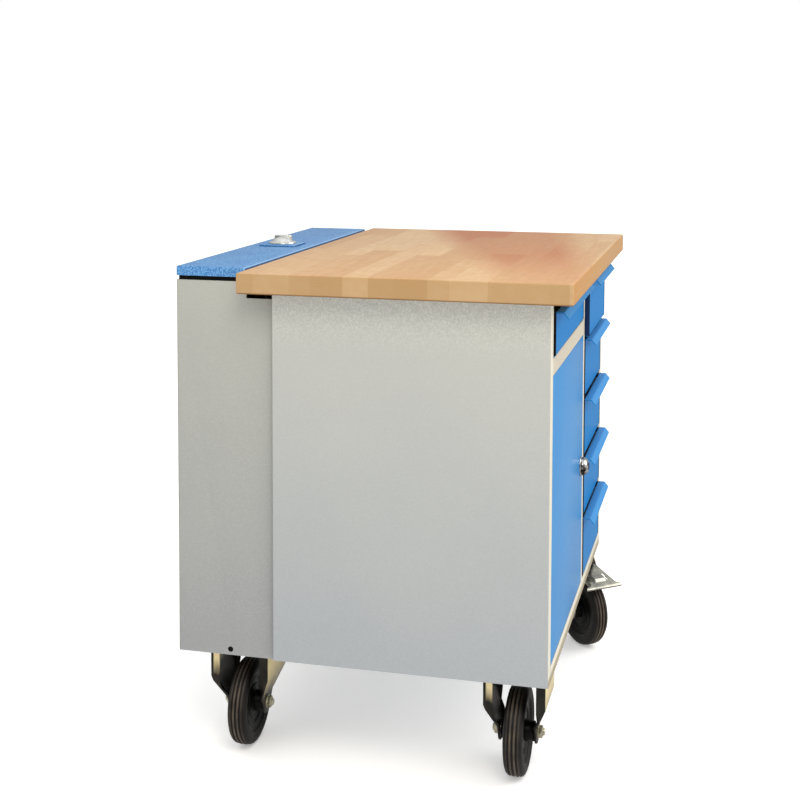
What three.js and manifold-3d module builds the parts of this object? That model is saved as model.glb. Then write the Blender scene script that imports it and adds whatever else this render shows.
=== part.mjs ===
// Mobile workbench with drawers: a sheet-steel cabinet under a beech worktop, with a rear housing for a
// lift-out tool panel, two fixed castors at the left end and two braked swivel castors at the right end.
// Units are millimetres. Inside the bench group x runs from the left side panel's outer face, y from the
// front of the cabinet towards the back, and z up from the floor. ORIGIN puts the middle of the floor at 0.
import * as THREE from 'three';
import { mergeVertices } from 'three/addons/utils/BufferGeometryUtils.js';
import { RoundedBoxGeometry } from 'three/addons/geometries/RoundedBoxGeometry.js';
import Module from 'manifold-3d';

const wasm = await Module();
wasm.setup();

// ---- driving dimensions ----
const GAP = 0.3;                 // air between pieces that touch
const SHEET = 1.5;               // sheet-steel thickness
const CABINET = { width: 770, depth: 470, bottom: 190, top: 819.7 };
const WORKTOP = { overhang: 41, front: -40, back: 518, bottom: 820, thick: 35, edgeRadius: 4 };
const ORIGIN = { x: CABINET.width / 2, y: 292 };
const BASE_Z = 202;              // underside of the base sheet, where the castors bolt on
const POST = { width: 25, returnDepth: 6 };
const DIVIDER = { left: 440, right: 455 };
const BOTTOM_RAIL_TOP = 217;
const MID_RAIL = { bottom: 697, top: 725 };
const TOP_RAIL = { bottom: 803, setBack: 22 };
const PARTITION_X = 446;
const REAR_INNER_Y = 466;        // front face of the cabinet's back sheet is just behind this

const DRAWER = { firstTop: 799, pitch: 116.4, count: 5, gapBelow: 6.5, lastBottom: 219.5, recess: 1 };
const HANDLE = { shelf: 12, reach: 20.5, drop: 10.5 };
const LEFT_DRAWER = { left: 29, right: 437, bottom: 727, top: 799 };
const RIGHT_FRONT = { left: 461, right: 739 };
const TRAY = { wall: 1.2, back: 430, floorRise: 10, rimDrop: 8 };
const LEFT_TRAY = { left: 42, right: 420 };
const RIGHT_TRAY = { left: 475, right: 728 };
const AJAR = 10;                 // the top right drawer stands this far open
const RUNNER = { front: 30, back: 440, web: 2, height: 22, ledge: 10 };
const UPRIGHTS = [[40, 60], [395, 415]];

const DOOR = { left: 27, right: 438.5, bottom: 218.5, top: 696, depth: 18 };
const DOOR_PIVOT = { x: 30.5, y: 3.6, pinRadius: 1.5, pinReach: 9 };
const LOCK = { x: 412, z: 450, rosette: 19, knob: 14, spindle: 5, camReach: 36 };
const SHELF = { z: 452, front: 30, lip: 15 };

const HOUSING = { inset: 12, back: 645, bottom: 187, rim: 834, lowRim: 806, stepY: 519 };
const SIDE_HOLE = { y: 551, z: 197, radius: 4.8 };
const LID = { inset: 10, front: 521, bottom: 841.5, top: 857.5, bend: 4 };
const LID_LOCK = {
  plate: 72, plateThick: 3, plateEdge: 3, base: 27, baseHeight: 6, wing: [10, 38, 11], shaft: 6,
};
const GUIDE = { front: 573, back: 607, width: 20 };
const PANEL = { left: 17, front: 577, back: 602, bottom: 215, notch: 50 };

const WHEEL = { radius: 75, halfWidth: 17, seat: 52, hubHalf: 28.4, bore: 6.3, groove: 5 };
const CASTOR = { plate: [104, 105, 4], axleZ: 75, axleRadius: 6, legInner: 29, legFoot: 33, sheet: 3 };
const FIXED_FORK = { x: 92, legOuter: 52.5, flangeInner: 36.5, halfLength: 52 };
const SWIVEL = {
  plate: [88, 90, 4], trail: 46, angle: -140, race: 34, crownTop: 185.7, crownBottom: 182.2, legTop: 34,
};
const ROWS = {
  front: { fixedY: 62.5, swivelX: 722, swivelY: 53.5 },
  rear: { fixedY: 546, swivelX: 710, swivelY: 546 },
};
const PEDAL = {
  pivot: [14, 172], pivotRadius: 4, rootHalf: 26,
  fold: [118, 150], foldHalf: 33, lip: [127, 145], earHalf: 42, thick: 2.5,
};
const TURNS = 24;                // sides of the round pieces

// ---- paints and metals ----
const finish = (color, roughness, metalness = 0) =>
  new THREE.MeshStandardMaterial({ color, roughness, metalness });
const beech = finish(0xd8ab78, 0.5);
const greyPaint = finish(0xc4c4bd, 0.6);
const bluePaint = finish(0x4a90d2, 0.45);
const innerSteel = finish(0x9a9c9c, 0.5, 0.6);
const zincPlate = finish(0xb9b6a6, 0.35, 0.9);
const chrome = finish(0xd9d9d9, 0.15, 1);
const tyreRubber = finish(0x1c1c1c, 0.8);
const rimPlastic = finish(0x242424, 0.6);

// ---- solids ----
function toSolid(geometry) {
  const bare = geometry.clone();
  bare.deleteAttribute('normal');
  bare.deleteAttribute('uv');
  const merged = mergeVertices(bare, 1e-4);
  return new wasm.Manifold(new wasm.Mesh({
    numProp: 3,
    vertProperties: new Float32Array(merged.attributes.position.array),
    triVerts: new Uint32Array(merged.index.array),
  }));
}

function toGeometry(solid) {
  const mesh = solid.getMesh();
  const geometry = new THREE.BufferGeometry();
  geometry.setAttribute('position', new THREE.BufferAttribute(mesh.vertProperties, 3));
  geometry.setIndex(new THREE.BufferAttribute(mesh.triVerts, 1));
  geometry.computeVertexNormals();
  return geometry;
}

const join = (...shapes) => toGeometry(shapes.map(toSolid).reduce((all, next) => all.add(next)));
const cut = (shape, ...tools) => (
  toGeometry(tools.map(toSolid).reduce((all, next) => all.subtract(next), toSolid(shape)))
);
const common = (first, second) => toGeometry(toSolid(first).intersect(toSolid(second)));

function block(x0, x1, y0, y1, z0, z1) {
  return new THREE.BoxGeometry(x1 - x0, y1 - y0, z1 - z0)
    .translate((x0 + x1) / 2, (y0 + y1) / 2, (z0 + z1) / 2);
}

const outline = (points) => new THREE.Shape(points.map(([a, b]) => new THREE.Vector2(a, b)));

// An outline of [y, z] points drawn along x, one of [x, z] points along y, one of [x, y] points along z.
function alongX(points, x0, x1) {
  const geometry = new THREE.ExtrudeGeometry(outline(points), { depth: x1 - x0, bevelEnabled: false });
  return geometry.rotateX(Math.PI / 2).rotateZ(Math.PI / 2).translate(x0, 0, 0);
}
function alongY(points, y0, y1) {
  const geometry = new THREE.ExtrudeGeometry(outline(points), { depth: y1 - y0, bevelEnabled: false });
  return geometry.rotateX(Math.PI / 2).translate(0, y1, 0);
}
function alongZ(points, z0, z1) {
  const settings = { depth: z1 - z0, bevelEnabled: false };
  return new THREE.ExtrudeGeometry(outline(points), settings).translate(0, 0, z0);
}

// A round bar between two values on an axis, centred at the two other coordinates.
function barZ(x, y, radius, z0, z1, sides = 24) {
  return new THREE.CylinderGeometry(radius, radius, z1 - z0, sides).rotateX(Math.PI / 2)
    .translate(x, y, (z0 + z1) / 2);
}
function barY(x, z, radius, y0, y1, sides = 24) {
  return new THREE.CylinderGeometry(radius, radius, y1 - y0, sides).translate(x, (y0 + y1) / 2, z);
}

// A box with a uniform wall, open on its top, its bottom or its back.
function pan(x0, x1, y0, y1, z0, z1, wall, open) {
  const reaches = { top: [wall, wall, wall, -1], bottom: [wall, wall, -1, wall], back: [wall, -1, wall, wall] };
  const [front, back, floor, roof] = reaches[open];
  return cut(
    block(x0, x1, y0, y1, z0, z1),
    block(x0 + wall, x1 - wall, y0 + front, y1 - back, z0 + floor, z1 - roof),
  );
}

// ---- the tree ----
const bench = new THREE.Group();

function add(name, geometry, material, parent = bench) {
  const mesh = new THREE.Mesh(geometry, material);
  mesh.name = name;
  parent.add(mesh);
  return mesh;
}

// ---- worktop and cabinet shell ----
function addWorktop() {
  const width = CABINET.width + 2 * WORKTOP.overhang;
  const depth = WORKTOP.back - WORKTOP.front;
  const slab = new RoundedBoxGeometry(width, depth, WORKTOP.thick, 2, WORKTOP.edgeRadius);
  slab.translate(CABINET.width / 2, (WORKTOP.front + WORKTOP.back) / 2, WORKTOP.bottom + WORKTOP.thick / 2);
  add('worktop', slab, beech);
}

// Each side is one folded sheet: its front edge turns in to make the corner post.
function addSidePanels() {
  const inner = POST.width - SHEET;
  const section = [
    [0, 0], [POST.width, 0], [POST.width, POST.returnDepth], [inner, POST.returnDepth], [inner, SHEET],
    [SHEET, SHEET], [SHEET, CABINET.depth - SHEET], [POST.width, CABINET.depth - SHEET],
    [POST.width, CABINET.depth], [0, CABINET.depth],
  ];
  const mirrored = section.map(([x, y]) => [CABINET.width - x, y]);
  add('left_side_panel', alongZ(section, CABINET.bottom, CABINET.top), greyPaint);
  add('right_side_panel', alongZ(mirrored, CABINET.bottom, CABINET.top), greyPaint);
}

function addFrontFrame() {
  const left = POST.width + GAP;
  const right = CABINET.width - POST.width - GAP;
  const rail = (x0, x1, z0, z1) => block(x0, x1, 0, SHEET, z0, z1);
  const pinHole = (z0, z1) => barZ(DOOR_PIVOT.x, DOOR_PIVOT.y, DOOR_PIVOT.pinRadius + GAP, z0, z1);
  const frame = join(
    rail(left, right, CABINET.bottom, BOTTOM_RAIL_TOP),
    block(left, right, 0, TOP_RAIL.setBack, BOTTOM_RAIL_TOP - SHEET, BOTTOM_RAIL_TOP),
    rail(DIVIDER.left, DIVIDER.right, CABINET.bottom, CABINET.top),
    block(DIVIDER.left, DIVIDER.left + SHEET, 0, POST.returnDepth, BOTTOM_RAIL_TOP, CABINET.top),
    block(DIVIDER.right - SHEET, DIVIDER.right, 0, POST.returnDepth, BOTTOM_RAIL_TOP, CABINET.top),
    rail(left, DIVIDER.right, MID_RAIL.bottom, MID_RAIL.top),
    block(left, DIVIDER.left + SHEET, 0, TOP_RAIL.setBack, MID_RAIL.bottom, MID_RAIL.bottom + SHEET),
    block(left, DIVIDER.left + SHEET, 0, TOP_RAIL.setBack, MID_RAIL.top - SHEET, MID_RAIL.top),
    block(DIVIDER.left, DIVIDER.right, 0, TOP_RAIL.setBack + SHEET, TOP_RAIL.bottom, CABINET.top),
    block(left, right, TOP_RAIL.setBack, TOP_RAIL.setBack + SHEET, TOP_RAIL.bottom, CABINET.top),
  );
  add('front_frame', cut(frame,
    pinHole(BOTTOM_RAIL_TOP - 5, BOTTOM_RAIL_TOP + 5),
    pinHole(MID_RAIL.bottom - 5, MID_RAIL.bottom + 5)), greyPaint);
}

function addCabinetInside() {
  const left = SHEET + GAP;
  const right = CABINET.width - SHEET - GAP;
  add('cabinet_base', pan(left, right, POST.returnDepth + GAP, CABINET.depth - SHEET - GAP,
    CABINET.bottom, BASE_Z + SHEET, SHEET, 'bottom'), greyPaint);
  const floor = BASE_Z + SHEET + GAP;
  add('cabinet_back', block(left, right, REAR_INNER_Y, REAR_INNER_Y + SHEET, floor, CABINET.top), greyPaint);
  add('centre_partition', block(PARTITION_X, PARTITION_X + SHEET, TOP_RAIL.setBack + SHEET + GAP,
    REAR_INNER_Y - GAP, floor, CABINET.top), greyPaint);
  add('shelf', join(
    block(left, PARTITION_X - GAP, SHELF.front, REAR_INNER_Y - GAP, SHELF.z, SHELF.z + SHEET),
    block(left, PARTITION_X - GAP, SHELF.front, SHELF.front + SHEET, SHELF.z - SHELF.lip, SHELF.z + SHEET),
  ), greyPaint);
}

// ---- drawers ----
const drawerTop = (i) => DRAWER.firstTop - DRAWER.pitch * i;
const drawerBottom = (i) => (i < DRAWER.count - 1 ? drawerTop(i + 1) + DRAWER.gapBelow : DRAWER.lastBottom);

// The front is one folded strip: a foot turned back, the face, a shelf turned forward and a sloping lip.
function drawerFront(x0, x1, bottom, top) {
  const face = DRAWER.recess;
  const foot = face + 14;
  return alongX([
    [foot, bottom], [face, bottom], [face, top - SHEET], [-HANDLE.shelf + 0.6, top - SHEET],
    [-HANDLE.reach + 1.2, top - HANDLE.drop - 1], [-HANDLE.reach, top - HANDLE.drop], [-HANDLE.shelf, top],
    [face + SHEET, top], [face + SHEET, bottom + SHEET], [foot, bottom + SHEET],
  ], x0, x1);
}

function drawerTray(x0, x1, bottom, top) {
  const front = DRAWER.recess + SHEET + GAP;
  return pan(x0, x1, front, TRAY.back, bottom + TRAY.floorRise, top - TRAY.rimDrop, TRAY.wall, 'top');
}

function addDrawers() {
  const left = new THREE.Group();
  bench.add(left);
  const { bottom, top } = LEFT_DRAWER;
  add('drawer_left_front', drawerFront(LEFT_DRAWER.left, LEFT_DRAWER.right, bottom, top), bluePaint, left);
  add('drawer_left_tray', drawerTray(LEFT_TRAY.left, LEFT_TRAY.right, bottom, top), greyPaint, left);
  for (let i = 0; i < DRAWER.count; i++) {
    const drawer = new THREE.Group();
    drawer.position.y = i === 0 ? -AJAR : 0;
    bench.add(drawer);
    const name = `drawer_right_${i + 1}`;
    const front = drawerFront(RIGHT_FRONT.left, RIGHT_FRONT.right, drawerBottom(i), drawerTop(i));
    add(`${name}_front`, front, bluePaint, drawer);
    const tray = drawerTray(RIGHT_TRAY.left, RIGHT_TRAY.right, drawerBottom(i), drawerTop(i));
    add(`${name}_tray`, tray, greyPaint, drawer);
  }
}

// A bank of runners: an angle rail under each tray's edge, held by two uprights against the wall.
function runnerBank(wallX, trayX, floors, z0, z1) {
  const side = Math.sign(trayX - wallX);
  const webX = trayX - side * GAP;
  const span = (a, b) => [Math.min(a, b), Math.max(a, b)];
  const pieces = UPRIGHTS.map(([y0, y1]) => block(...span(wallX, webX - side * RUNNER.web / 2), y0, y1, z0, z1));
  for (const floor of floors) {
    const under = floor - 2 * GAP;
    pieces.push(block(...span(webX - side * RUNNER.web, webX), RUNNER.front, RUNNER.back,
      under - RUNNER.web, floor + RUNNER.height));
    pieces.push(block(...span(webX - side * RUNNER.web, webX + side * RUNNER.ledge), RUNNER.front, RUNNER.back,
      under - RUNNER.web, under));
  }
  return join(...pieces);
}

function addRunners() {
  const floor = BASE_Z + SHEET + GAP;
  const leftFloor = [LEFT_DRAWER.bottom + TRAY.floorRise];
  const rightFloors = Array.from({ length: DRAWER.count }, (_, i) => drawerBottom(i) + TRAY.floorRise);
  const leftZ = [MID_RAIL.bottom, TOP_RAIL.bottom];
  const rightZ = [floor, TOP_RAIL.bottom];
  add('left_runner_outer', runnerBank(SHEET + GAP, LEFT_TRAY.left, leftFloor, ...leftZ), innerSteel);
  add('left_runner_inner', runnerBank(PARTITION_X - GAP, LEFT_TRAY.right, leftFloor, ...leftZ), innerSteel);
  add('right_runners_inner', runnerBank(PARTITION_X + SHEET + GAP, RIGHT_TRAY.left, rightFloors, ...rightZ),
    innerSteel);
  add('right_runners_outer', runnerBank(CABINET.width - SHEET - GAP, RIGHT_TRAY.right, rightFloors, ...rightZ),
    innerSteel);
}

// ---- door and its turn lock ----
function addDoor() {
  const { x, y, pinRadius, pinReach } = DOOR_PIVOT;
  const pinHole = (z) => barZ(x, y, pinRadius + GAP, z - 5, z + 5);
  const panel = cut(
    pan(DOOR.left, DOOR.right, 0, DOOR.depth, DOOR.bottom, DOOR.top, SHEET, 'back'),
    pinHole(DOOR.bottom), pinHole(DOOR.top),
    barY(LOCK.x, LOCK.z, LOCK.spindle + GAP, -1, 5),
    block(DOOR.right - 5, DOOR.right + 5, 7, 14, LOCK.z - 12, LOCK.z + LOCK.camReach + 4),
  );
  add('door_panel', panel, bluePaint);
  const lower = BOTTOM_RAIL_TOP - pinReach + 3;
  const upper = MID_RAIL.bottom - pinReach + 1;
  add('door_pin_lower', barZ(x, y, pinRadius, lower, lower + 2 * pinReach), zincPlate);
  add('door_pin_upper', barZ(x, y, pinRadius, upper, upper + 2 * pinReach), zincPlate);

  const rosette = cut(
    barY(LOCK.x, LOCK.z, LOCK.rosette, -GAP - 3, -GAP, TURNS),
    barY(LOCK.x, LOCK.z, LOCK.spindle + GAP, -5, 5),
  );
  add('door_lock_rosette', rosette, chrome);
  const face = -GAP - 3 - GAP;
  const knob = join(
    barY(LOCK.x, LOCK.z, LOCK.knob, face - 5, face, TURNS),
    block(LOCK.x - 4, LOCK.x + 4, face - 14, face - 4, LOCK.z - LOCK.knob + 1, LOCK.z + LOCK.knob - 1),
    barY(LOCK.x, LOCK.z, LOCK.spindle, face - 2, 8.4),
  );
  add('door_lock_knob', knob, chrome);
  add('door_lock_cam', block(LOCK.x - 6, LOCK.x + 6, 8.7, 11.2, LOCK.z - 8, LOCK.z + LOCK.camReach), zincPlate);
}

// ---- rear housing with its lift-out tool panel ----
function addHousing() {
  const x0 = HOUSING.inset;
  const x1 = CABINET.width - HOUSING.inset;
  const front = CABINET.depth + GAP;
  const back = HOUSING.back - SHEET - GAP;
  const side = [
    [front, HOUSING.bottom], [back, HOUSING.bottom], [back, HOUSING.rim], [HOUSING.stepY, HOUSING.rim],
    [HOUSING.stepY, HOUSING.lowRim], [front, HOUSING.lowRim],
  ];
  const cornerFlange = (a, b) => block(a, b, back - SHEET, back, HOUSING.bottom, HOUSING.rim);
  const left = join(alongX(side, x0, x0 + SHEET), cornerFlange(x0, x0 + 18));
  const sideHole = new THREE.CylinderGeometry(SIDE_HOLE.radius, SIDE_HOLE.radius, 10, 24)
    .rotateZ(Math.PI / 2).translate(x0, SIDE_HOLE.y, SIDE_HOLE.z);
  add('rear_housing_left', cut(left, sideHole), greyPaint);
  add('rear_housing_right', join(alongX(side, x1 - SHEET, x1), cornerFlange(x1 - 18, x1)), greyPaint);
  add('rear_housing_back', block(x0, x1, HOUSING.back - SHEET, HOUSING.back, HOUSING.bottom, HOUSING.rim),
    greyPaint);
  add('rear_housing_base', pan(x0 + SHEET + GAP, x1 - SHEET - GAP, front, back - SHEET - GAP,
    CABINET.bottom, BASE_Z + SHEET, SHEET, 'bottom'), greyPaint);

  const floor = BASE_Z + SHEET + GAP;
  const start = x0 + SHEET + GAP;
  const channel = [
    [start, GUIDE.front], [start + GUIDE.width, GUIDE.front], [start + GUIDE.width, GUIDE.front + SHEET],
    [start + SHEET, GUIDE.front + SHEET], [start + SHEET, GUIDE.back - SHEET],
    [start + GUIDE.width, GUIDE.back - SHEET], [start + GUIDE.width, GUIDE.back], [start, GUIDE.back],
  ];
  const opposite = channel.map(([x, y]) => [CABINET.width - x, y]);
  add('panel_guide_left', alongZ(channel, floor, HOUSING.rim - 4), innerSteel);
  add('panel_guide_right', alongZ(opposite, floor, HOUSING.rim - 4), innerSteel);
}

function addToolPanel() {
  const far = CABINET.width - PANEL.left;
  const section = [
    [PANEL.left, PANEL.front], [far, PANEL.front], [far, PANEL.back], [far - SHEET, PANEL.back],
    [far - SHEET, PANEL.front + SHEET], [PANEL.left + SHEET, PANEL.front + SHEET],
    [PANEL.left + SHEET, PANEL.back], [PANEL.left, PANEL.back],
  ];
  const roof = LID.top - SHEET - GAP;
  const middle = CABINET.width / 2;
  add('tool_panel', cut(
    alongZ(section, PANEL.bottom, roof),
    block(middle - PANEL.notch, middle + PANEL.notch, PANEL.front - 5, PANEL.front + 5, roof - 26, roof + 5),
  ), greyPaint);
}

function addLid() {
  const x0 = LID.inset;
  const x1 = CABINET.width - LID.inset;
  const y0 = LID.front;
  const y1 = HOUSING.back;
  const b = LID.bend;
  const corner = b * (1 - Math.SQRT1_2);
  const profile = [
    [y0, LID.bottom], [y1, LID.bottom], [y1, LID.top - b], [y1 - corner, LID.top - corner], [y1 - b, LID.top],
    [y0 + b, LID.top], [y0 + corner, LID.top - corner], [y0, LID.top - b],
  ];
  const middle = [CABINET.width / 2, (y0 + y1) / 2];
  const shaftHole = (z0, z1) => barZ(...middle, LID_LOCK.shaft + GAP, z0, z1);
  const cap = cut(
    alongX(profile, x0, x1),
    block(x0 + SHEET, x1 - SHEET, y0 + SHEET, y1 - SHEET, LID.bottom - 5, LID.top - SHEET),
    shaftHole(LID.bottom, LID.top + 5),
  );
  add('lid_cap', cap, bluePaint);

  const half = LID_LOCK.plate / 2;
  const plateBottom = LID.top + GAP;
  const plateTop = plateBottom + LID_LOCK.plateThick;
  const topHalf = half - LID_LOCK.plateEdge;
  const bevelled = new THREE.CylinderGeometry(topHalf * Math.SQRT2, half * Math.SQRT2, LID_LOCK.plateThick, 4)
    .rotateX(Math.PI / 2).rotateZ(Math.PI / 4).translate(...middle, (plateBottom + plateTop) / 2);
  add('lid_lock_plate', cut(bevelled, shaftHole(LID.top, LID.top + 10)), bluePaint);

  const seat = plateTop + GAP;
  const [wide, deep, height] = LID_LOCK.wing;
  const wingTop = seat + LID_LOCK.baseHeight + height;
  const barBottom = LID.top - SHEET - 12;
  add('lid_knob', join(
    barZ(...middle, LID_LOCK.base, seat, seat + LID_LOCK.baseHeight, TURNS),
    block(middle[0] - wide / 2, middle[0] + wide / 2, middle[1] - deep / 2, middle[1] + deep / 2,
      seat + LID_LOCK.baseHeight - 1, wingTop),
    barZ(...middle, LID_LOCK.shaft, barBottom, seat + 1),
    block(middle[0] - 30, middle[0] + 30, middle[1] - 7, middle[1] + 7, barBottom, barBottom + 3),
  ), chrome);
}

// ---- castors ----
// A ring about y: [radius, y] points of its upper half, mirrored for the lower half and closed.
function ring(upper) {
  const lower = upper.map(([r, y]) => [r, -y]).reverse();
  const loop = [...upper, ...lower, upper[0]].reverse();
  return new THREE.LatheGeometry(loop.map(([r, y]) => new THREE.Vector2(r, y)), TURNS);
}

function tyre() {
  const { radius, halfWidth, seat, groove } = WHEEL;
  return ring([
    [seat, halfWidth - 4], [seat + 5, halfWidth - 3], [radius - 14, halfWidth], [radius - 6, halfWidth - 1.5],
    [radius - 1, halfWidth - 7], [radius, groove + 1.5], [radius - 2.5, groove], [radius, groove - 1.5],
  ]);
}

function rim() {
  const { seat, halfWidth, hubHalf, bore } = WHEEL;
  const edge = seat - GAP;
  return ring([[bore, hubHalf], [16, hubHalf], [19, 10], [34, 7], [39, halfWidth - 6], [edge, halfWidth - 5]]);
}

// The axle is a bolt with a hexagon head on one end and a nut on the other.
function axle(headInner) {
  const head = (y0, y1) => barY(0, 0, 10.5, y0, y1, 6);
  return join(
    barY(0, 0, CASTOR.axleRadius, -headInner - 11, headInner + 11, 20),
    head(-headInner - 8, -headInner), head(headInner, headInner + 8),
  );
}

// A pressed fork leg: an outer web with both edges turned in towards the wheel. The side outline is in
// [x, z] and the end outline in [y, z]; the inside copy of each leaves the sheet's thickness standing.
function forkLeg(side, sideOuter, sideInner, endOuter, endInner) {
  const mirror = (points) => points.map(([y, z]) => [side * y, z]);
  const reach = 100;
  const hull = common(alongY(sideOuter, -reach, reach), alongX(mirror(endOuter), -reach, reach));
  const hollow = common(alongY(sideInner, -reach, reach), alongX(mirror(endInner), -reach, reach));
  return cut(hull, hollow);
}

function roundFoot(x, z, radius, steps = 6) {
  const points = [];
  for (let i = 0; i <= steps; i++) {
    const angle = Math.PI + (Math.PI * i) / steps;
    points.push([x + radius * Math.cos(angle), z + radius * Math.sin(angle)]);
  }
  return points;
}

function fixedFork() {
  const [length, width, thick] = CASTOR.plate;
  const { legInner, legFoot, axleZ, sheet: t } = CASTOR;
  const { legOuter, flangeInner, halfLength: half } = FIXED_FORK;
  const top = BASE_Z - GAP;
  const deck = top - thick;
  const [shoulder, waist, knee, foot] = [134, 108, 88, 52];
  const sideOuter = [[-half, top], [-half, 126], ...roundFoot(0, axleZ, 20), [half, 126], [half, top]];
  const sideInner = [
    [-half + t, deck], [-half + t, 126], ...roundFoot(0, axleZ, 20 - t), [half - t, 126], [half - t, deck],
  ];
  const endOuter = [
    [flangeInner, top], [flangeInner, waist], [legInner, 96], [legInner, foot], [legFoot, foot], [legFoot, knee],
    [legOuter, shoulder], [legOuter, top],
  ];
  const endInner = [
    [20, deck], [20, foot], [legFoot - t, foot], [legFoot - t, knee + 1], [legOuter - t, shoulder + 1],
    [legOuter - t, deck],
  ];
  const legs = [-1, 1].map((side) => forkLeg(side, sideOuter, sideInner, endOuter, endInner));
  return cut(
    join(block(-length / 2, length / 2, -width / 2, width / 2, deck, top), ...legs),
    barY(0, axleZ, CASTOR.axleRadius + GAP, -100, 100, 20),
  );
}

// Swivel castor pieces are drawn with the pivot at x = 0 and the wheel trailing along +x.
function swivelFork() {
  const { trail, crownTop, crownBottom, race, legTop } = SWIVEL;
  const { legInner, legFoot, axleZ, sheet: t } = CASTOR;
  const [shoulder, knee, foot] = [130, 103, 50];
  const reach = 100;
  const lean = [[-race, crownTop], [-race, 150], ...roundFoot(trail, axleZ, 20), [60, 136], [race, crownTop]];
  const end = [
    [legTop - t, crownTop], [legTop - t, shoulder + 2], [legInner, knee + 2], [legInner, foot],
    [legFoot - 1, foot], [legFoot - 1, knee], [legTop, shoulder], [legTop, crownTop],
  ];
  const legs = [-1, 1].map((side) => common(
    alongY(lean, -reach, reach),
    alongX(end.map(([y, z]) => [side * y, z]), -reach, reach),
  ));
  return cut(
    join(barZ(0, 0, race + 2, crownBottom, crownTop, TURNS), ...legs),
    barY(trail, axleZ, CASTOR.axleRadius + GAP, -reach, reach, 20),
  );
}

function swivelPlate() {
  const [length, width, thick] = SWIVEL.plate;
  const top = BASE_Z - GAP;
  return join(
    block(-length / 2, length / 2, -width / 2, width / 2, top - thick, top),
    barZ(0, 0, SWIVEL.race, SWIVEL.crownTop + GAP, top - thick + 1, TURNS),
  );
}

// The brake pedal widens from its pivot to a fold, and a narrow lip past the fold flares at both ends.
function pedal() {
  const [pivotX, pivotZ] = PEDAL.pivot;
  const [foldX, foldZ] = PEDAL.fold;
  const [lipX, lipZ] = PEDAL.lip;
  const { rootHalf, foldHalf, earHalf, thick } = PEDAL;
  const top = [[pivotX - 4, pivotZ + 4], [foldX, foldZ], [lipX + 1, lipZ]];
  const section = [...top, ...top.map(([x, z]) => [x, z - thick]).reverse()];
  const edge = [
    [pivotX - 4, rootHalf], [foldX, foldHalf], [foldX + 4, earHalf - 3], [lipX, earHalf],
    [lipX + 1, foldHalf + 1], [lipX - 2, foldHalf - 3],
  ];
  const plan = [...edge, ...edge.map(([x, y]) => [x, -y]).reverse()];
  const plate = common(alongY(section, -earHalf - 1, earHalf + 1), alongZ(plan, lipZ - 20, pivotZ + 20));
  return join(plate, barY(pivotX, pivotZ, PEDAL.pivotRadius, -rootHalf, rootHalf, 16));
}

function addWheel(label, parent, x) {
  for (const [piece, geometry, material] of [['tyre', tyre(), tyreRubber], ['rim', rim(), rimPlastic]]) {
    add(`${label}_${piece}`, geometry, material, parent).position.set(x, 0, CASTOR.axleZ);
  }
}

function addCastors() {
  for (const [row, { fixedY, swivelX, swivelY }] of Object.entries(ROWS)) {
    const fixed = new THREE.Group();
    fixed.position.set(FIXED_FORK.x, fixedY, 0);
    bench.add(fixed);
    add(`fixed_fork_${row}`, fixedFork(), zincPlate, fixed);
    add(`fixed_axle_${row}`, axle(CASTOR.legFoot + GAP), zincPlate, fixed).position.z = CASTOR.axleZ;
    addWheel(`fixed_${row}`, fixed, 0);

    const mountPlate = add(`swivel_plate_${row}`, swivelPlate(), zincPlate);
    mountPlate.position.set(swivelX, swivelY, 0);
    const swivel = new THREE.Group();
    swivel.position.set(swivelX, swivelY, 0);
    swivel.rotation.z = THREE.MathUtils.degToRad(SWIVEL.angle);
    bench.add(swivel);
    add(`swivel_fork_${row}`, swivelFork(), zincPlate, swivel);
    const swivelAxle = add(`swivel_axle_${row}`, axle(CASTOR.legFoot - 1 + GAP), zincPlate, swivel);
    swivelAxle.position.set(SWIVEL.trail, 0, CASTOR.axleZ);
    addWheel(`swivel_${row}`, swivel, SWIVEL.trail);
    add(`brake_pedal_${row}`, pedal(), zincPlate, swivel);
  }
}

addWorktop();
addSidePanels();
addFrontFrame();
addCabinetInside();
addDrawers();
addRunners();
addDoor();
addHousing();
addToolPanel();
addLid();
addCastors();

const workbench = new THREE.Group();
bench.position.set(-ORIGIN.x, -ORIGIN.y, 0);
workbench.add(bench);
export default workbench;
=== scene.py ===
import math

import bmesh
import bpy
from mathutils import Matrix, Vector


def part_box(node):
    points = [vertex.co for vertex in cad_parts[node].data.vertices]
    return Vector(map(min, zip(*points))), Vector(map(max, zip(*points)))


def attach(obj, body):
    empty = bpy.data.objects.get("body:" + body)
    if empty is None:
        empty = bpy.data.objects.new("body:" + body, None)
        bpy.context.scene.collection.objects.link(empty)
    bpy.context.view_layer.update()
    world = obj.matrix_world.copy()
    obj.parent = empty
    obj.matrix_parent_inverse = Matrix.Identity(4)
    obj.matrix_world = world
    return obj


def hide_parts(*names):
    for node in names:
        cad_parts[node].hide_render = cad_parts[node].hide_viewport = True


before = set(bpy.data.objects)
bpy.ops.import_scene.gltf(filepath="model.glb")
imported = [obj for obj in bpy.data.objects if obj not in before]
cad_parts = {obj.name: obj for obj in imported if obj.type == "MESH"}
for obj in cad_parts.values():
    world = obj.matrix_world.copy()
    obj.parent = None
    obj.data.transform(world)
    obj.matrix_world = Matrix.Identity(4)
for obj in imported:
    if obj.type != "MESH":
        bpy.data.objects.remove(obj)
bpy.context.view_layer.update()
scene = bpy.context.scene

# Shapes are drawn in bench millimetres, as in the part: x from the left side panel's outer face, y from the
# cabinet's front towards the back, z up from the floor. BENCH turns them into the row frame in metres.
ORIGIN_X, ORIGIN_Y = 385, 292
BENCH = Matrix.Scale(0.001, 4) @ Matrix.Translation((-ORIGIN_X, -ORIGIN_Y, 0))

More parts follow.
